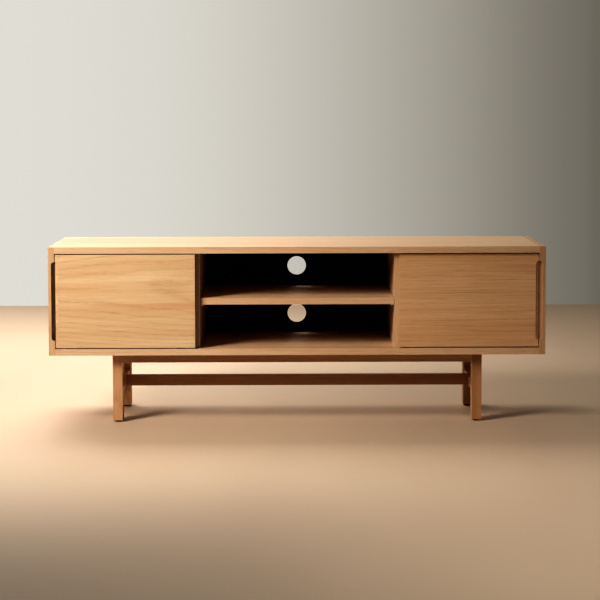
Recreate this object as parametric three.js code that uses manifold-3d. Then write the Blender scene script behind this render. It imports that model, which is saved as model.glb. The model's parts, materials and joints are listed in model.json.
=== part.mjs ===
// Media cabinet: a long oak box on a leg frame, with two thin sliding doors and an open bay between them.
// Millimetres, +Z up. The origin is on the floor under the middle of the cabinet; the front faces -Y.
import * as THREE from 'three';
import { mergeVertices } from 'three/addons/utils/BufferGeometryUtils.js';
import Module from 'manifold-3d';

// ---- Driving dimensions: the box ----
const cabinetLength = 1600;
const cabinetDepth = 400;
const boxHeight = 350;
const topThickness = 21; // the top and the bottom panel
const sideThickness = 20;
const dividerThickness = 20;
const bayLength = 628; // clear length of the open middle bay
const lowerBayHeight = 140; // clear height under the shelf
const shelfThickness = 22;
const shelfStepBack = 6.5; // front of the shelf behind the fronts of the dividers
const shelfEndGap = 1.5;
const backThickness = 9;
const backInset = 3; // from the rear edges of the box to the back panel
const cableHoleRadius = 32.5;
const cableHoleDrop = 5; // hole centre below the middle of its opening

// ---- Sliding doors ----
const doorThickness = 7;
const doorTopGap = 3; // above and below each door
const doorEndGap = 2; // between a shut door and its side panel
const doorOverlap = 5; // how far a shut door laps over the front of its divider
const doorSetback = 1; // face of the left door behind the front of the box
const doorPassingGap = 1; // between the two doors as they pass
const dividerGap = 1.5; // between the rear door and the dividers

// ---- Door guides ----
const grooveWidth = 3.8;
const grooveDepth = 6;
const finClearance = 0.4; // on each side of a fin in its groove
const finTipClearance = 0.4;
const finLength = 30;
const finInset = 45; // middle of a fin from the end of its door
const stopLength = 14;
const stopGap = 0.3; // left between a fully open door's guide and its stop

// ---- Finger pulls: one round-ended hollow shared by a door's edge and its side panel ----
const pullWidth = 21;
const pullEndInset = 23.5; // from the top and the bottom of the door
const pullDepthInSide = 17;
const pullDepthInDoor = 4;

// ---- Base frame ----
const legWidth = 31; // along the cabinet
const legDepth = 46;
const legLength = 220;
const legInsetFromEnds = 200;
const legInsetFromFront = 44; // and from the rear
const railHeight = 30; // aprons and top rails, right under the box
const railThickness = 20;
const stretcherHeight = 35;
const stretcherRise = 94; // underside of the stretchers above the floor
const longStretcherThickness = 20;
const sideStretcherInset = 2; // from each face of a leg to the face of the side stretcher
const footPadRadius = 11;
const footPadHeight = 5;

// ---- Fasteners and small fittings ----
const fitGap = 0.3; // around a fastener in its hole
const pinRadius = 3;
const pinHeadRadius = 5;
const pinHeadLength = 8;
const pinDepth = 10; // how far a shelf pin goes into its divider
const pinInset = 45; // pin from the front and the rear edge of the shelf
const boltRadius = 3;
const boltHeadRadius = 6.5;
const boltHeadHeight = 3.5;
const boltReach = 13; // into the bottom panel
const boltInset = 55; // bolt from each end of its rail
const screwRadius = 2;
const screwHeadRadius = 4.5;
const screwHeadHeight = 1.8;
const screwReach = 24; // into the board in front of the back panel
const screwInset = 40; // upper and lower screws from the top and bottom of the divider
const shelfScrewInset = 164; // from the end of the shelf
const bumperRadius = 3;
const bumperThickness = 1.4;
const bumperInset = 12; // middle of a bumper from the top or bottom of its door

// ---- Places worked out from the sizes above ----
const halfLength = cabinetLength / 2;
const front = -cabinetDepth / 2;
const rear = cabinetDepth / 2;
const boxBottom = footPadHeight + legLength;
const boxTop = boxBottom + boxHeight;
const insideBottom = boxBottom + topThickness;
const insideTop = boxTop - topThickness;
const insideMiddle = (insideBottom + insideTop) / 2;
const insideHalf = halfLength - sideThickness;
const bayHalf = bayLength / 2;
const dividerOuter = bayHalf + dividerThickness;
const dividerMiddle = bayHalf + dividerThickness / 2;
const doorPitch = doorThickness + doorPassingGap;
const doorFace = { left: front + doorSetback, right: front + doorSetback + doorPitch };
const dividerFront = doorFace.right + doorThickness + dividerGap;
const backRear = rear - backInset;
const backFront = backRear - backThickness;
const shelfBottom = insideBottom + lowerBayHeight;
const shelfTop = shelfBottom + shelfThickness;
const shelfMiddle = (shelfBottom + shelfTop) / 2;
const shelfFront = dividerFront + shelfStepBack;
const shelfHalf = bayHalf - shelfEndGap;
const doorBottom = insideBottom + doorTopGap;
const doorTop = insideTop - doorTopGap;
const doorOuterEdge = insideHalf - doorEndGap;
const doorInnerEdge = dividerOuter - doorOverlap;
const doorTravel = doorOuterEdge - dividerOuter;
const finWidth = grooveWidth - 2 * finClearance;
const finReach = doorTopGap + grooveDepth - finTipClearance;
const legOuter = halfLength - legInsetFromEnds;
const legInner = legOuter - legWidth;
const legMiddle = (legOuter + legInner) / 2;
const legFront = front + legInsetFromFront;
const legBack = legFront + legDepth;
const railBottom = boxBottom - railHeight;
const stretcherTop = stretcherRise + stretcherHeight;
const sides = [['left', -1], ['right', 1]];
const ends = [['front', 1], ['rear', -1]];

// ---- Materials ----
const oak = new THREE.MeshStandardMaterial({ color: 0xd9a774, roughness: 0.55 });
const doorOak = new THREE.MeshStandardMaterial({ color: 0xdfb07c, roughness: 0.55 });
const frameOak = new THREE.MeshStandardMaterial({ color: 0xc98f5c, roughness: 0.6 });
const blackBoard = new THREE.MeshStandardMaterial({ color: 0x15130f, roughness: 0.85 });
const darkNylon = new THREE.MeshStandardMaterial({ color: 0x1e1c1a, roughness: 0.5 });
const darkRubber = new THREE.MeshStandardMaterial({ color: 0x1d1b19, roughness: 0.9 });
const zincSteel = new THREE.MeshStandardMaterial({ color: 0xb4b6b8, roughness: 0.35, metalness: 1 });

// ---- Cutting one shape out of another ----
const wasm = await Module();
wasm.setup();

function toSolid(geometry) {
  const bare = geometry.clone();
  bare.deleteAttribute('normal');
  bare.deleteAttribute('uv');
  const merged = mergeVertices(bare, 1e-4);
  const vertProperties = Float32Array.from(merged.attributes.position.array);
  const triVerts = Uint32Array.from(merged.index.array);
  return new wasm.Manifold(new wasm.Mesh({ numProp: 3, vertProperties, triVerts }));
}

function toGeometry(solid) {
  const mesh = solid.getMesh();
  const shared = new THREE.BufferGeometry();
  shared.setAttribute('position', new THREE.BufferAttribute(Float32Array.from(mesh.vertProperties), 3));
  shared.setIndex(new THREE.BufferAttribute(Uint32Array.from(mesh.triVerts), 1));
  const geometry = shared.toNonIndexed();
  geometry.computeVertexNormals();
  return geometry;
}

function cut(body, tools) {
  let solid = toSolid(body);
  for (const tool of tools) {
    solid = solid.subtract(toSolid(tool));
  }
  return toGeometry(solid);
}

// ---- Shapes to be cut and shapes that cut, each made in its place ----
const over = 1; // how far a cutting shape runs out past the face it opens

function board(xa, xb, y0, y1, z0, z1) {
  const geometry = new THREE.BoxGeometry(Math.abs(xb - xa), y1 - y0, z1 - z0);
  return geometry.translate((xa + xb) / 2, (y0 + y1) / 2, (z0 + z1) / 2);
}

// Round bars that run along X, Y and Z.
function rodX(radius, xa, xb, y, z, segments = 24) {
  const geometry = new THREE.CylinderGeometry(radius, radius, Math.abs(xb - xa), segments);
  return geometry.rotateZ(Math.PI / 2).translate((xa + xb) / 2, y, z);
}

function rodY(radius, y0, y1, x, z, segments = 24) {
  const geometry = new THREE.CylinderGeometry(radius, radius, y1 - y0, segments);
  return geometry.translate(x, (y0 + y1) / 2, z);
}

function rodZ(radius, z0, z1, x, y, segments = 24) {
  const geometry = new THREE.CylinderGeometry(radius, radius, z1 - z0, segments);
  return geometry.rotateX(Math.PI / 2).translate(x, y, (z0 + z1) / 2);
}

// A pin, bolt or screw in one turned piece: the head starts at zero and the shank runs on along +Y.
function headed(shankRadius, headRadius, headLength, shankLength) {
  const profile = [
    new THREE.Vector2(0, 0),
    new THREE.Vector2(headRadius, 0),
    new THREE.Vector2(headRadius, headLength),
    new THREE.Vector2(shankRadius, headLength),
    new THREE.Vector2(shankRadius, headLength + shankLength),
    new THREE.Vector2(0, headLength + shankLength),
  ];
  return new THREE.LatheGeometry(profile, 20);
}

// The hollow of a finger pull: a tall slot with half-round ends that runs in from a front face.
function pullHollow(x, face, depth) {
  const radius = pullWidth / 2;
  const straight = (doorTop - doorBottom) / 2 - pullEndInset - radius;
  const outline = new THREE.Shape();
  outline.moveTo(radius, -straight);
  outline.lineTo(radius, straight);
  outline.absarc(0, straight, radius, 0, Math.PI, false);
  outline.lineTo(-radius, -straight);
  outline.absarc(0, -straight, radius, Math.PI, 2 * Math.PI, false);
  const settings = { depth: depth + over, bevelEnabled: false, curveSegments: 20 };
  const hollow = new THREE.ExtrudeGeometry(outline, settings);
  return hollow.rotateX(Math.PI / 2).translate(x, face + depth, insideMiddle);
}

// ---- Scene graph: the box and the base, with each door in a group of its own at its depth in the box ----
const cabinet = new THREE.Group();
const box = new THREE.Group();
const base = new THREE.Group();
const doors = { left: new THREE.Group(), right: new THREE.Group() };
cabinet.add(box, base);
for (const [side] of sides) {
  doors[side].position.y = doorFace[side];
  box.add(doors[side]);
}

function add(group, name, geometry, material) {
  const mesh = new THREE.Mesh(geometry, material.clone());
  mesh.name = name;
  group.add(mesh);
  return mesh;
}

function addBoard(group, name, [xa, xb], [y0, y1], [z0, z1], material) {
  const geometry = new THREE.BoxGeometry(Math.abs(xb - xa), y1 - y0, z1 - z0);
  add(group, name, geometry, material).position.set((xa + xb) / 2, (y0 + y1) / 2, (z0 + z1) / 2);
}

// ---- Top and bottom panels, grooved for the doors, between the side panels ----
function grooveMiddle(side) {
  return doorFace[side] + doorThickness - grooveWidth / 2;
}

function grooves(z0, z1) {
  return sides.map(([side]) => {
    const middle = grooveMiddle(side);
    const half = grooveWidth / 2;
    return board(-halfLength, halfLength, middle - half, middle + half, z0, z1);
  });
}

function makeTopPanel() {
  const panel = board(-insideHalf, insideHalf, front, rear, insideTop, boxTop);
  add(box, 'top_panel', cut(panel, grooves(insideTop - over, insideTop + grooveDepth)), oak);
}

function makeBottomPanel() {
  const panel = board(-insideHalf, insideHalf, front, rear, boxBottom, insideBottom);
  const cuts = grooves(insideBottom - grooveDepth, insideBottom + over);
  for (const { x, y } of boltPlaces()) {
    cuts.push(rodZ(boltRadius + fitGap, boxBottom - over, boxBottom + boltReach + fitGap, x, y));
  }
  add(box, 'bottom_panel', cut(panel, cuts), oak);
}

// ---- Side panels: they cover the ends of the top and the bottom ----
function makeSidePanel(side, sign) {
  const panel = board(sign * insideHalf, sign * halfLength, front, rear, boxBottom, boxTop);
  const hollow = pullHollow(sign * insideHalf, front, pullDepthInSide);
  add(box, `${side}_side_panel`, cut(panel, [hollow]), oak);
}

// ---- Dividers, bay shelf and back panel ----
function makeDivider(side, sign) {
  const width = [sign * bayHalf, sign * dividerOuter];
  const panel = board(...width, dividerFront, backFront, insideBottom, insideTop);
  const cuts = [];
  for (const { y } of pinPlaces().filter((place) => place.side === side)) {
    const holeStart = sign * (bayHalf - over);
    const holeEnd = sign * (bayHalf + pinDepth + fitGap);
    cuts.push(rodX(pinRadius + fitGap, holeStart, holeEnd, y, shelfBottom - pinHeadRadius));
  }
  for (const { x, z } of backScrewPlaces()) {
    cuts.push(screwHole(x, z));
  }
  add(box, `${side}_divider`, cut(panel, cuts), oak);
}

function makeShelf() {
  const shelf = board(-shelfHalf, shelfHalf, shelfFront, backFront, shelfBottom, shelfTop);
  const cuts = backScrewPlaces().map(({ x, z }) => screwHole(x, z));
  add(box, 'bay_shelf', cut(shelf, cuts), oak);
}

function makeBackPanel() {
  const panel = board(-insideHalf, insideHalf, backFront, backRear, insideBottom, insideTop);
  const cuts = backScrewPlaces().map(({ x, z }) => screwHole(x, z));
  for (const [low, high] of [[insideBottom, shelfBottom], [shelfTop, insideTop]]) {
    const z = (low + high) / 2 - cableHoleDrop;
    cuts.push(rodY(cableHoleRadius, backFront - over, backRear + over, 0, z, 64));
  }
  add(box, 'back_panel', cut(panel, cuts), blackBoard);
}

// ---- Screws through the back panel: three into each divider, one into each half of the shelf ----
function backScrewPlaces() {
  return sides.flatMap(([side, sign]) => [
    { name: `${side}_divider_low`, x: sign * dividerMiddle, z: insideBottom + screwInset },
    { name: `${side}_divider_mid`, x: sign * dividerMiddle, z: insideMiddle },
    { name: `${side}_divider_high`, x: sign * dividerMiddle, z: insideTop - screwInset },
    { name: `${side}_shelf`, x: sign * (shelfHalf - shelfScrewInset), z: shelfMiddle },
  ]);
}

function screwHole(x, z) {
  return rodY(screwRadius + fitGap, backFront - screwReach - fitGap, rear, x, z, 20);
}

function makeBackScrews() {
  for (const { name, x, z } of backScrewPlaces()) {
    const shape = headed(screwRadius, screwHeadRadius, screwHeadHeight, backThickness + screwReach);
    const screw = add(box, `back_screw_${name}`, shape, zincSteel);
    screw.rotation.x = Math.PI;
    screw.position.set(x, backRear + screwHeadHeight, z);
  }
}

// ---- Shelf pins: a shank in the divider and a head that the shelf lies on ----
function pinPlaces() {
  const frontPin = shelfFront + pinInset;
  const rearPin = backFront - pinInset;
  return sides.flatMap(([side, sign]) => [
    { name: `${side}_front_shelf_pin`, side, sign, y: frontPin },
    { name: `${side}_rear_shelf_pin`, side, sign, y: rearPin },
  ]);
}

function makeShelfPins() {
  for (const { name, sign, y } of pinPlaces()) {
    const pin = add(box, name, headed(pinRadius, pinHeadRadius, pinHeadLength, pinDepth), zincSteel);
    pin.rotation.z = (-sign * Math.PI) / 2;
    pin.position.set(sign * (bayHalf - pinHeadLength), y, shelfBottom - pinHeadRadius);
  }
}

// ---- Sliding doors, with two nylon fins in the upper groove and two in the lower ----
function makeDoor(side, sign) {
  const panel = board(sign * doorInnerEdge, sign * doorOuterEdge, 0, doorThickness, doorBottom, doorTop);
  const hollow = pullHollow(sign * insideHalf, 0, pullDepthInDoor);
  add(doors[side], `${side}_door`, cut(panel, [hollow]), doorOak);
}

function makeDoorFins(side, sign) {
  const grooveInDoor = doorThickness - grooveWidth / 2;
  const depth = [grooveInDoor - finWidth / 2, grooveInDoor + finWidth / 2];
  const inner = sign * (doorInnerEdge + finInset);
  const outer = sign * (doorOuterEdge - finInset);
  for (const [end, x] of [['inner', inner], ['outer', outer]]) {
    const length = [x - finLength / 2, x + finLength / 2];
    const above = [doorTop, doorTop + finReach];
    const below = [doorBottom - finReach, doorBottom];
    addBoard(doors[side], `${side}_door_${end}_guide`, length, depth, above, darkNylon);
    addBoard(doors[side], `${side}_door_${end}_glide`, length, depth, below, darkNylon);
  }
}

// A rubber block pressed into the upper groove: the inner guide stops just short of it.
function makeDoorStop(side, sign) {
  const guideEnd = doorInnerEdge + finInset - finLength / 2 - doorTravel;
  const length = [sign * (guideEnd - stopGap), sign * (guideEnd - stopGap - stopLength)];
  const y = grooveMiddle(side);
  const depth = [y - finWidth / 2, y + finWidth / 2];
  const height = [insideTop + fitGap, insideTop + grooveDepth];
  addBoard(box, `${side}_door_stop`, length, depth, height, darkRubber);
}

// Small round pads on the side panel, behind the edge of the shut door.
function makeBumpers(side, sign) {
  const y = doorFace[side] + doorThickness / 2;
  const places = [['upper', doorTop - bumperInset], ['lower', doorBottom + bumperInset]];
  for (const [level, z] of places) {
    const shape = new THREE.CylinderGeometry(bumperRadius, bumperRadius, bumperThickness, 24);
    const bumper = add(box, `${side}_${level}_bumper`, shape, darkRubber);
    bumper.rotation.z = Math.PI / 2;
    bumper.position.set(sign * (insideHalf - bumperThickness / 2), y, z);
  }
}

// ---- Legs and foot pads ----
function makeLegs(side, sign) {
  for (const [end, toward] of ends) {
    const y = (toward * (legFront + legBack)) / 2;
    const width = [sign * legInner, sign * legOuter];
    const depth = [y - legDepth / 2, y + legDepth / 2];
    addBoard(base, `${side}_${end}_leg`, width, depth, [footPadHeight, boxBottom], frameOak);
    const shape = new THREE.CylinderGeometry(footPadRadius, footPadRadius, footPadHeight, 32);
    const pad = add(base, `${side}_${end}_foot_pad`, shape, darkRubber);
    pad.rotation.x = Math.PI / 2;
    pad.position.set(sign * legMiddle, y, footPadHeight / 2);
  }
}

// ---- Aprons at the front and the rear, flush with the legs ----
function makeAprons() {
  const apronBack = legFront + railThickness;
  const height = [railBottom, boxBottom];
  addBoard(base, 'front_apron', [-legInner, legInner], [legFront, apronBack], height, frameOak);
  addBoard(base, 'rear_apron', [-legInner, legInner], [-apronBack, -legFront], height, frameOak);
}

// ---- Top rails between front and rear legs; the base bolts go up through them ----
function boltPlaces() {
  return sides.flatMap(([side, sign]) => ends.map(([end, toward]) => (
    { name: `${side}_${end}_base_bolt`, side, x: sign * legMiddle, y: toward * (legBack + boltInset) }
  )));
}

function makeTopRail(side, sign) {
  const x = sign * legMiddle;
  const half = railThickness / 2;
  const rail = board(x - half, x + half, legBack, -legBack, railBottom, boxBottom);
  const cuts = [];
  for (const { y } of boltPlaces().filter((place) => place.side === side)) {
    cuts.push(rodZ(boltRadius + fitGap, railBottom - over, boxBottom + over, x, y));
  }
  add(base, `${side}_top_rail`, cut(rail, cuts), frameOak);
}

function makeBaseBolts() {
  for (const { name, x, y } of boltPlaces()) {
    const shape = headed(boltRadius, boltHeadRadius, boltHeadHeight, railHeight + boltReach);
    const bolt = add(base, name, shape, zincSteel);
    bolt.rotation.x = Math.PI / 2;
    bolt.position.set(x, y, railBottom - boltHeadHeight);
  }
}

// ---- Low stretchers: one between the legs of each end, one long one between those two ----
function makeSideStretcher(side, sign) {
  const width = [sign * (legInner + sideStretcherInset), sign * (legOuter - sideStretcherInset)];
  const height = [stretcherRise, stretcherTop];
  addBoard(base, `${side}_side_stretcher`, width, [legBack, -legBack], height, frameOak);
}

function makeLongStretcher() {
  const reach = legInner + sideStretcherInset;
  const half = longStretcherThickness / 2;
  const height = [stretcherRise, stretcherTop];
  addBoard(base, 'long_stretcher', [-reach, reach], [-half, half], height, frameOak);
}

// ---- The whole cabinet ----
makeTopPanel();
makeBottomPanel();
makeShelf();
makeBackPanel();
for (const [side, sign] of sides) {
  makeSidePanel(side, sign);
  makeDivider(side, sign);
  makeDoor(side, sign);
  makeDoorFins(side, sign);
  makeDoorStop(side, sign);
  makeBumpers(side, sign);
  makeLegs(side, sign);
  makeTopRail(side, sign);
  makeSideStretcher(side, sign);
}
makeAprons();
makeLongStretcher();
makeShelfPins();
makeBackScrews();
makeBaseBolts();

export default cabinet;
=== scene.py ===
# %% [markdown]
# # An oak media cabinet
# The cabinet is a long oak box on a leg frame. Two thin doors slide in grooves, one behind the other,
# and the bay between them is open, with a shelf and two cable holes in a black back.
# The CAD model already has every board at the size chosen for it, so this lesson is about surfaces:
# oiled oak that differs from board to board, edges that catch the light, small fittings, and soft lamps.

import json
import math

import bpy
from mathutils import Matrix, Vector


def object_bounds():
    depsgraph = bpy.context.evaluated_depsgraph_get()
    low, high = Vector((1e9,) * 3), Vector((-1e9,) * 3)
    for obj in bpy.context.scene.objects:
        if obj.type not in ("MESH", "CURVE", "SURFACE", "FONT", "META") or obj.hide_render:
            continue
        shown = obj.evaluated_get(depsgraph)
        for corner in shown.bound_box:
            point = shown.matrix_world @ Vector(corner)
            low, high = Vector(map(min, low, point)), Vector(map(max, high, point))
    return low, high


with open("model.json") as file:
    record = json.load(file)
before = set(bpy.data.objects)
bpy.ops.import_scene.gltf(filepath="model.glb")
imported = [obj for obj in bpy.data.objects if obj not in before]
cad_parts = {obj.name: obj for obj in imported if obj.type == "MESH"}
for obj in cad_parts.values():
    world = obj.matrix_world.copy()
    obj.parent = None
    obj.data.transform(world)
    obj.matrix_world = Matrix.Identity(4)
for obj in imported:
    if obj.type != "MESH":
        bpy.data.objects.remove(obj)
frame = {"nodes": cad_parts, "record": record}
cad_low, cad_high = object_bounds()
nodes = frame["nodes"]
size = cad_high - cad_low
print(f"{len(nodes)} CAD nodes, {size.x:.3f} x {size.y:.3f} x {size.z:.3f} m")

# %% [markdown]
# ## A short way to write materials
# A procedural material is a chain of nodes. Written out one by one they are long to read, so a small
# class keeps one method for each kind of step: noise, arithmetic, a colour ramp, a blend.
# Colours that are the same all over go straight into the shader's sockets, not through a node.

# %% The finish writer
MM = 0.001


class Finish:
    def __init__(self, name, **sockets):
        self.material = bpy.data.materials.new(name)
        self.material.use_nodes = True
        self.tree = self.material.node_tree
        self.shader = self.tree.nodes["Principled BSDF"]
        for socket, value in sockets.items():
            self.shader.inputs[socket.replace("_", " ")].default_value = value

    def node(self, kind, inputs=(), **settings):
        made = self.tree.nodes.new("ShaderNode" + kind)
        for key, value in settings.items():
            setattr(made, key, value)
        for socket, value in dict(inputs).items():
            if isinstance(value, bpy.types.NodeSocket):
                self.tree.links.new(value, made.inputs[socket])
            else:
                made.inputs[socket].default_value = value
        return made

    def math(self, operation, a, b=0.0):
        return self.node("Math", {0: a, 1: b}, operation=operation).outputs[0]

    def vector(self, operation, a, b):
        return self.node("VectorMath", {0: a, 1: b}, operation=operation).outputs[0]

    def place(self):
        return self.node("TexCoord").outputs["Object"]

    def noise(self, where, detail=2.0, roughness=0.5):
        inputs = {"Vector": where, "Scale": 1.0, "Detail": detail, "Roughness": roughness}
        return self.node("TexNoise", inputs)

    def speckle(self, scale, detail, roughness=0.5):
        where = self.vector("MULTIPLY", self.place(), (scale, scale, scale))
        return self.noise(where, detail, roughness).outputs[0]

    def remap(self, value, low, high, to_low=0.0, to_high=1.0):
        inputs = {0: value, 1: low, 2: high, 3: to_low, 4: to_high}
        return self.node("MapRange", inputs).outputs[0]

    def ramp(self, value, *stops):
        made = self.node("ValToRGB", {"Fac": value})
        points = made.color_ramp.elements
        while len(points) < len(stops):
            points.new(1.0)
        for point, (position, color) in zip(points, stops):
            point.position = position
            point.color = (*color, 1.0)
        return made.outputs["Color"]

    def blend(self, amount, a, b, how="MIX"):
        made = self.node("Mix", data_type="RGBA", blend_type=how)
        for index, value in ((0, amount), (6, a), (7, b)):
            if isinstance(value, bpy.types.NodeSocket):
                self.tree.links.new(value, made.inputs[index])
            else:
                made.inputs[index].default_value = value
        return made.outputs[2]

    def finish(self, color=None, roughness=None, height=None, depth=0.0):
        sockets = self.shader.inputs
        if color:
            self.tree.links.new(color, sockets["Base Color"])
        if roughness:
            self.tree.links.new(roughness, sockets["Roughness"])
        if height:
            bump = self.node("Bump", {"Height": height, "Distance": depth, "Strength": 1.0})
            self.tree.links.new(bump.outputs[0], sockets["Normal"])
        return self.material


# %% [markdown]
# ## Oiled oak
# Oak shows three things at once. Growth rings make the broad figure: straight lines where a board is
# cut across them, arches where it is cut along them. Open pores make short dark dashes that follow the
# fibre. And whole stretches of a board are a little pinker or yellower than the next. A picture of
# wood would give one flat board; a solid pattern goes right through the piece, so end grain, edges and
# the hollow of the finger pull all agree. So the rings are distances from an imagined heart of the
# trunk, the fibre wanders a little, and everything is stretched along the grain.

# %% Oak as a solid pattern
TURN_TO_GRAIN = {"x": (0.0, 0.0, 0.0), "y": (0.0, 0.0, math.pi / 2), "z": (0.0, math.pi / 2, 0.0)}
PALE_OAK = (0.68, 0.510, 0.350)
WARM_OAK = (0.60, 0.405, 0.250)
RING_OAK = (0.47, 0.290, 0.155)
PINK_OAK = (0.58, 0.330, 0.205)
PORE_BROWN = (0.28, 0.125, 0.050)

# How often each part of the figure repeats in a metre: along the grain, then twice across it.
WANDER_SCALE = (1.8, 4.0, 4.0)
STRETCH_SCALE = (0.9, 22.0, 22.0)
FLUSH_SCALE = (0.7, 60.0, 60.0)
STREAK_SCALE = (3.5, 330.0, 330.0)
PORE_SCALE = (22.0, 950.0, 950.0)

SEED_STEP = (1.37, 0.71, 0.53)
PORE_STRENGTH = 0.45
PORE_ROUGHNESS = 0.2
STREAK_DEPTH = -0.25
OAK_RELIEF = 0.12 * MM


def oak(name, grain, seed, heart=(0.9, 0.4), ring_gap=4.0 * MM, taper=0.012, wave=0.030, figure=0.3,
        lines=0.35, pink=0.3, tone=(1.0, 1.0, 1.0)):
    made = Finish(name, Specular_IOR_Level=0.5)
    shift = Vector([seed * step for step in SEED_STEP])
    turned = made.node("Mapping", {"Vector": made.place(), "Rotation": TURN_TO_GRAIN[grain]})
    board = turned.outputs[0]
    slow = made.vector("MULTIPLY", made.vector("ADD", board, shift), WANDER_SCALE)
    wander = made.vector("SUBTRACT", made.noise(slow, 2.0).outputs["Color"], (0.5, 0.5, 0.5))
    fibre = made.vector("ADD", board, made.vector("MULTIPLY", wander, (0.0, wave, wave)))
    along = made.node("SeparateXYZ", {0: fibre}).outputs
    from_heart = made.vector("SUBTRACT", fibre, (0.0, heart[0], heart[1]))
    across = made.vector("MULTIPLY", from_heart, (0.0, 1.0, 1.0))
    radius = made.node("VectorMath", {0: across}, operation="LENGTH").outputs["Value"]
    tapered = made.math("ADD", radius, made.math("MULTIPLY", along[0], taper))
    ring = made.math("FRACT", made.math("DIVIDE", tapered, ring_gap))
    late = made.remap(made.math("ABSOLUTE", made.math("SUBTRACT", ring, 0.5)), 0.28, 0.5)
    shifted = made.vector("ADD", fibre, shift)
    stretch = made.noise(made.vector("MULTIPLY", shifted, STRETCH_SCALE), 3.0, 0.55).outputs[0]
    flush = made.noise(made.vector("MULTIPLY", shifted, FLUSH_SCALE), 2.0).outputs[0]
    streak = made.noise(made.vector("MULTIPLY", shifted, STREAK_SCALE), 2.0, 0.6).outputs[0]
    dashes = made.noise(made.vector("MULTIPLY", shifted, PORE_SCALE), 1.0).outputs[0]
    pores = made.math("MULTIPLY", made.remap(dashes, 0.56, 0.70), made.remap(late, 0.0, 1.0, 0.25, 1.0))
    toned = [[a * b for a, b in zip(tone, color)] for color in (PALE_OAK, WARM_OAK, RING_OAK, PINK_OAK)]
    pale, warm, dark, blush = toned
    color = made.ramp(stretch, (0.30, warm), (0.66, pale))
    color = made.blend(made.math("MULTIPLY", made.remap(flush, 0.58, 0.68), pink), color, (*blush, 1.0))
    color = made.blend(made.math("MULTIPLY", late, figure), color, (*dark, 1.0))
    color = made.blend(made.remap(streak, 0.42, 0.70, 0.0, lines), color, (*dark, 1.0))
    color = made.blend(made.math("MULTIPLY", pores, PORE_STRENGTH), color, (*PORE_BROWN, 1.0))
    oiled = made.remap(stretch, 0.3, 0.7, 0.40, 0.50)
    rough = made.math("ADD", oiled, made.math("MULTIPLY", pores, PORE_ROUGHNESS))
    height = made.math("SUBTRACT", made.math("MULTIPLY", streak, STREAK_DEPTH), pores)
    return made.finish(color, rough, height, OAK_RELIEF)


# %% [markdown]
# ## One board, one piece of wood
# No two boards of a real cabinet are cut from the same place, so each has its own seed. The grain
# runs the long way of every board: level in the top, bottom, shelf and doors, upright in the sides,
# dividers and legs. The left door is cut near the heart and shows faint arches under straight lines;
# the right one is nearly quarter cut, with straight close lines and a browner tone.

# %% Oak for the boards of the box
LEVEL_BOARDS = ("top_panel", "bottom_panel", "bay_shelf")
# The right side panel's darker tone is painted shade, for the half shade that end of the cabinet stands
# in; the other tones are the boards' own.
UPRIGHT_TONES_AND_SHADE = {"left_side_panel": (0.98, 1.01, 1.02), "right_side_panel": (0.86, 0.82, 0.78),
                 "left_divider": (0.97, 0.97, 0.97), "right_divider": (0.97, 0.97, 0.97)}
LEVEL_HEART = (-0.35, 0.9)
UPRIGHT_HEART = (0.5, 0.9)
FIRST_LEVEL_SEED = 1
FIRST_UPRIGHT_SEED = 5
LEFT_DOOR_OAK = {"seed": 11, "heart": (0.030, 0.440), "ring_gap": 8.0 * MM, "taper": -0.038,
                 "figure": 0.22, "lines": 0.25, "pink": 0.6, "tone": (0.99, 1.01, 0.97)}
RIGHT_DOOR_OAK = {"seed": 12, "heart": (0.4, 1.3), "wave": 0.010, "lines": 0.55,
                  "tone": (1.01, 0.94, 0.85)}


def put(node, material):
    slots = nodes[node].data.materials
    slots.clear()
    slots.append(material)


for seed, board in enumerate(LEVEL_BOARDS, start=FIRST_LEVEL_SEED):
    put(board, oak(f"oak_{board}", "x", seed, heart=LEVEL_HEART, pink=0.5))
for seed, board in enumerate(UPRIGHT_TONES_AND_SHADE, start=FIRST_UPRIGHT_SEED):
    put(board, oak(f"oak_{board}", "z", seed, heart=UPRIGHT_HEART, tone=UPRIGHT_TONES_AND_SHADE[board]))
put("left_door", oak("oak_left_door", "x", **LEFT_DOOR_OAK))
put("right_door", oak("oak_right_door", "x", **RIGHT_DOOR_OAK))
print("oak on the boards of the box and on both doors")

# %% Oak for the base
BASE_LONG = ("front_apron", "rear_apron", "long_stretcher")
BASE_DEEP = [f"{side}_{bar}" for side in ("left", "right") for bar in ("top_rail", "side_stretcher")]
LEGS = [f"{side}_{end}_leg" for side in ("left", "right") for end in ("front", "rear")]
BASE_TONE = (0.86, 0.76, 0.66)
BASE_HEART = (0.3, 0.6)
FIRST_BASE_SEED = 20
# These three bars stand in deep shade. The lamps here are a little too kind to them, so the oak is darker.
DARK_TONE = (0.72, 0.58, 0.46)
DARK_BARS = ("long_stretcher", "right_front_leg", "right_side_stretcher")
for grain, bars in (("x", BASE_LONG), ("y", BASE_DEEP), ("z", LEGS)):
    for seed, bar in enumerate(bars, start=FIRST_BASE_SEED):
        tone = DARK_TONE if bar in DARK_BARS else BASE_TONE
        put(bar, oak(f"oak_{bar}", grain, seed, heart=BASE_HEART, tone=tone))
print("oak on", len(BASE_LONG) + len(BASE_DEEP) + len(LEGS), "bars of the base")

# %% [markdown]
# ## Edges that catch the light
# A sanded edge is never a knife edge: it is rounded by about a millimetre, and that thin line is what
# tells the eye where one board ends. A Bevel modifier rounds the edges without touching the CAD mesh,
# and stays inside its box. Thin doors get a smaller round than the thick boards.

# %% Round the edges
BOARD_ROUND = 0.9 * MM
DOOR_ROUND = 0.6 * MM
FITTING_ROUND = 0.3 * MM
SHARP_EDGE = math.radians(40)


def round_edges(node, width):
    bevel = nodes[node].modifiers.new("sanded edges", "BEVEL")
    bevel.width = width
    bevel.segments = 2
    bevel.limit_method = "ANGLE"
    bevel.angle_limit = SHARP_EDGE


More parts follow.
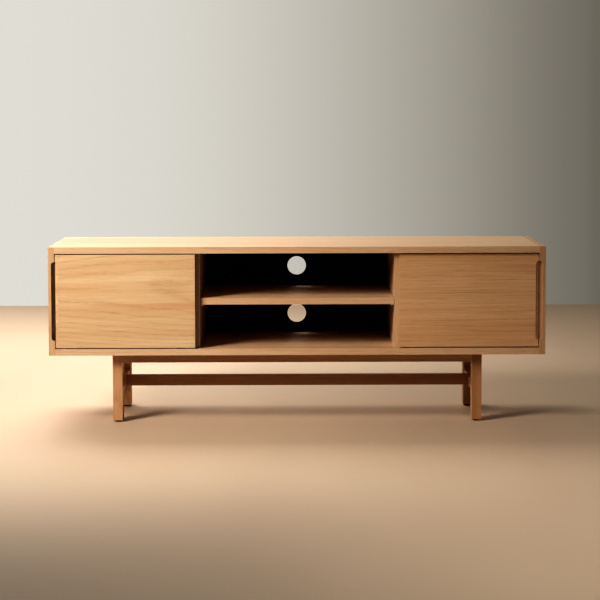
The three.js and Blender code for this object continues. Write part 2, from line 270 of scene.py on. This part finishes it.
for board in (*LEVEL_BOARDS, *UPRIGHT_TONES_AND_SHADE, *BASE_LONG, *BASE_DEEP, *LEGS):
    round_edges(board, BOARD_ROUND)
for door in ("left_door", "right_door"):
    round_edges(door, DOOR_ROUND)
print("rounded the edges of the boards, bars and doors")

# %% [markdown]
# ## The black back
# The back is a thin board coloured almost black, which keeps the open bay dark. It hardly reflects
# anything, but a very fine unevenness keeps it from looking like a hole.

# %% Near-black back
def near_black_back():
    made = Finish("near_black_back", Specular_IOR_Level=0.2)
    cloud = made.speckle(60.0, 4.0, 0.6)
    grit = made.speckle(1500.0, 1.0)
    color = made.ramp(cloud, (0.3, (0.010, 0.009, 0.008)), (0.7, (0.018, 0.016, 0.015)))
    return made.finish(color, made.remap(cloud, 0.3, 0.7, 0.72, 0.85), grit, 0.05 * MM)


put("back_panel", near_black_back())
print("black laminate on the back panel")

# %% [markdown]
# ## Rubber, nylon and zinc
# The small parts are three materials. The foot pads, door stops and bumpers are matte rubber. The fins
# that ride in the grooves are black nylon. Screws, bolts and shelf pins are zinc plated: bright, with
# a slightly blue and yellow cloud that plating leaves.

# %% Small-part finishes
def rubber():
    made = Finish("black_rubber", Specular_IOR_Level=0.3)
    grain = made.speckle(900.0, 3.0)
    color = made.ramp(grain, (0.3, (0.016, 0.015, 0.014)), (0.7, (0.030, 0.028, 0.026)))
    return made.finish(color, made.remap(grain, 0.3, 0.7, 0.75, 0.92), grain, 0.08 * MM)


def nylon():
    made = Finish("nylon", Specular_IOR_Level=0.45, Subsurface_Weight=0.1)
    cloud = made.speckle(120.0, 2.0)
    color = made.ramp(cloud, (0.3, (0.022, 0.019, 0.016)), (0.7, (0.032, 0.028, 0.024)))
    return made.finish(color, made.remap(cloud, 0.3, 0.7, 0.38, 0.50), cloud, 0.03 * MM)


def zinc():
    made = Finish("zinc_steel", Metallic=1.0)
    cloud = made.speckle(300.0, 3.0)
    color = made.ramp(cloud, (0.3, (0.52, 0.53, 0.56)), (0.7, (0.66, 0.64, 0.58)))
    return made.finish(color, made.remap(cloud, 0.3, 0.7, 0.24, 0.38), cloud, 0.01 * MM)


SLOT_FINISH = {"black_rubber": rubber(), "nylon": nylon(), "zinc_steel": zinc()}
slot_of = {part["node"]: part["material_slot"] for part in frame["record"]["subparts"]}
for node, slot in slot_of.items():
    if slot in SLOT_FINISH:
        put(node, SLOT_FINISH[slot])
        if slot == "nylon":
            round_edges(node, FITTING_ROUND)
print(sum(slot in SLOT_FINISH for slot in slot_of.values()), "small parts finished")

# %% [markdown]
# ## The floor and the room
# The cabinet stands on a plain pale floor with a plain wall a few steps behind it. The floor is one
# flat sheet that stops where the wall would stand, and the wall is only the world's colour, lighter on
# the lamp's side, so that nothing hides the cabinet from behind.

# %% Floor
FLOOR_BACK = 2.87
FLOOR_REACH = 30.0
FLOOR_CLOUD = (1.2, 0.5, 1.0)


def pale_floor():
    made = Finish("pale_floor", Specular_IOR_Level=0.25)
    cloud = made.noise(made.vector("MULTIPLY", made.place(), FLOOR_CLOUD), 3.0).outputs[0]
    color = made.ramp(cloud, (0.3, (0.55, 0.430, 0.320)), (0.7, (0.60, 0.475, 0.360)))
    return made.finish(color, made.remap(cloud, 0.3, 0.7, 0.55, 0.65))


def make_floor():
    corners = [(-FLOOR_REACH, -FLOOR_REACH, 0), (FLOOR_REACH, -FLOOR_REACH, 0),
               (FLOOR_REACH, FLOOR_BACK, 0), (-FLOOR_REACH, FLOOR_BACK, 0)]
    sheet = bpy.data.meshes.new("floor")
    sheet.from_pydata(corners, [], [(0, 1, 2, 3)])
    sheet.materials.append(pale_floor())
    made = bpy.data.objects.new("floor", sheet)
    bpy.context.scene.collection.objects.link(made)
    return made


make_floor()
print("floor reaches", FLOOR_BACK, "m behind the cabinet")

# %% [markdown]
# ## The wall's light
# The world's colour depends only on direction: towards the wall it fades from light grey on the left
# to mid grey on the right, and the rest of the room is dim, so that the open bay stays dark.

# %% World
WALL_EDGE = 0.2
WALL_STARTS, WALL_FULL = -0.2, 0.5
WALL_COLORS = ((0.05, (0.47, 0.465, 0.435)), (0.30, (0.46, 0.45, 0.42)), (0.52, (0.385, 0.370, 0.338)),
               (0.75, (0.275, 0.260, 0.23)), (0.95, (0.150, 0.141, 0.121)))
DIM_ROOM = (0.03, 0.028, 0.026)


def make_room():
    world = bpy.data.worlds.new("room")
    bpy.context.scene.world = world
    world.use_nodes = True
    tree = world.node_tree
    toward = tree.nodes.new("ShaderNodeSeparateXYZ")
    tree.links.new(tree.nodes.new("ShaderNodeTexCoord").outputs["Generated"], toward.inputs[0])
    sideways = tree.nodes.new("ShaderNodeMapRange")
    sideways.inputs[1].default_value = -WALL_EDGE
    sideways.inputs[2].default_value = WALL_EDGE
    tree.links.new(toward.outputs["X"], sideways.inputs[0])
    ahead = tree.nodes.new("ShaderNodeMapRange")
    ahead.inputs[1].default_value = WALL_STARTS
    ahead.inputs[2].default_value = WALL_FULL
    tree.links.new(toward.outputs["Y"], ahead.inputs[0])
    wall = tree.nodes.new("ShaderNodeValToRGB")
    wall.color_ramp.interpolation = "B_SPLINE"
    for position, color in WALL_COLORS[1:-1]:
        wall.color_ramp.elements.new(position)
    for point, (position, color) in zip(wall.color_ramp.elements, WALL_COLORS):
        point.position = position
        point.color = (*color, 1.0)
    tree.links.new(sideways.outputs[0], wall.inputs[0])
    room = tree.nodes.new("ShaderNodeMix")
    room.data_type = "RGBA"
    room.inputs[6].default_value = (*DIM_ROOM, 1.0)
    tree.links.new(wall.outputs[0], room.inputs[7])
    tree.links.new(ahead.outputs[0], room.inputs[0])
    tree.links.new(room.outputs[2], tree.nodes["Background"].inputs["Color"])


make_room()
print("room light set")

# %% [markdown]
# ## A tall window, and a little from above
# The light comes from a tall window-like source in front of the cabinet's left end. It rakes along the
# doors, so the left door is bright and the right one falls into half shade, and each board edge draws
# a soft shadow to the right. A wide panel overhead lifts the top and the floor behind, and a weak one
# in front keeps the near floor from going dark.

# %% Lamps
WINDOW = {"place": (-2.0, -1.65, 1.9), "aim": (-0.2, -0.05, 0.42), "width": 0.8, "height": 1.4,
          "power": 11.8, "color": (1.0, 0.95, 0.90), "spread": 68.0}
CEILING = {"place": (-1.4, 1.7, 2.7), "aim": (-1.4, 1.2, 0.0), "width": 2.4, "height": 1.6,
           "power": 43.0, "color": (1.0, 0.98, 0.96), "spread": 123.0}
FILL = {"place": (0.8, -2.3, 1.66), "aim": (0.75, -1.6, 0.0), "width": 1.2, "height": 1.2,
        "power": 3.3, "color": (1.0, 0.97, 0.93), "spread": 80.0}


def soft_lamp(name, place, aim, width, height, power, color, spread):
    data = bpy.data.lights.new(name, "AREA")
    data.spread = math.radians(spread)
    data.shape = "RECTANGLE"
    data.size = width
    data.size_y = height
    data.energy = power
    data.color = color
    lamp = bpy.data.objects.new(name, data)
    lamp.location = place
    lamp.rotation_euler = (Vector(aim) - Vector(place)).to_track_quat("-Z", "Y").to_euler()
    bpy.context.scene.collection.objects.link(lamp)


soft_lamp("window", **WINDOW)
soft_lamp("ceiling", **CEILING)
soft_lamp("fill", **FILL)
print("window, ceiling and fill lamps set")

# %% [markdown]
# ## The camera
# A long lens keeps the boards' edges parallel. It stands about five metres in front, a little above
# the top, looking slightly down; a small vertical shift keeps the uprights upright.

# %% Camera
SENSOR = 36.0
LENS = 96.5
CAMERA_DISTANCE = 5.143
CAMERA_PLACE = (-0.0206, cad_low.y - CAMERA_DISTANCE, 1.0345)
YAW = 0.0060
PITCH = 0.0662
ROLL = 0.0021
SHIFT_DOWN = 0.15


def make_camera():
    data = bpy.data.cameras.new("camera")
    data.sensor_width = SENSOR
    data.lens = LENS
    data.shift_y = -SHIFT_DOWN
    camera = bpy.data.objects.new("camera", data)
    camera.location = CAMERA_PLACE
    camera.rotation_euler = (math.pi / 2 - PITCH, ROLL, -YAW)
    bpy.context.scene.collection.objects.link(camera)
    bpy.context.scene.camera = camera


make_camera()
print("camera", [round(part, 3) for part in CAMERA_PLACE])

# %% [markdown]
# ## Contrast
# Oiled oak looks deeper in shade than in light: its shadows turn brown, not grey. The plain view
# transform with a strong contrast look gives that, and keeps the open bay nearly black.

# %% Contrast
view = bpy.context.scene.view_settings
view.view_transform = "Standard"
view.look = "Very High Contrast"
print("view:", view.view_transform, view.look)
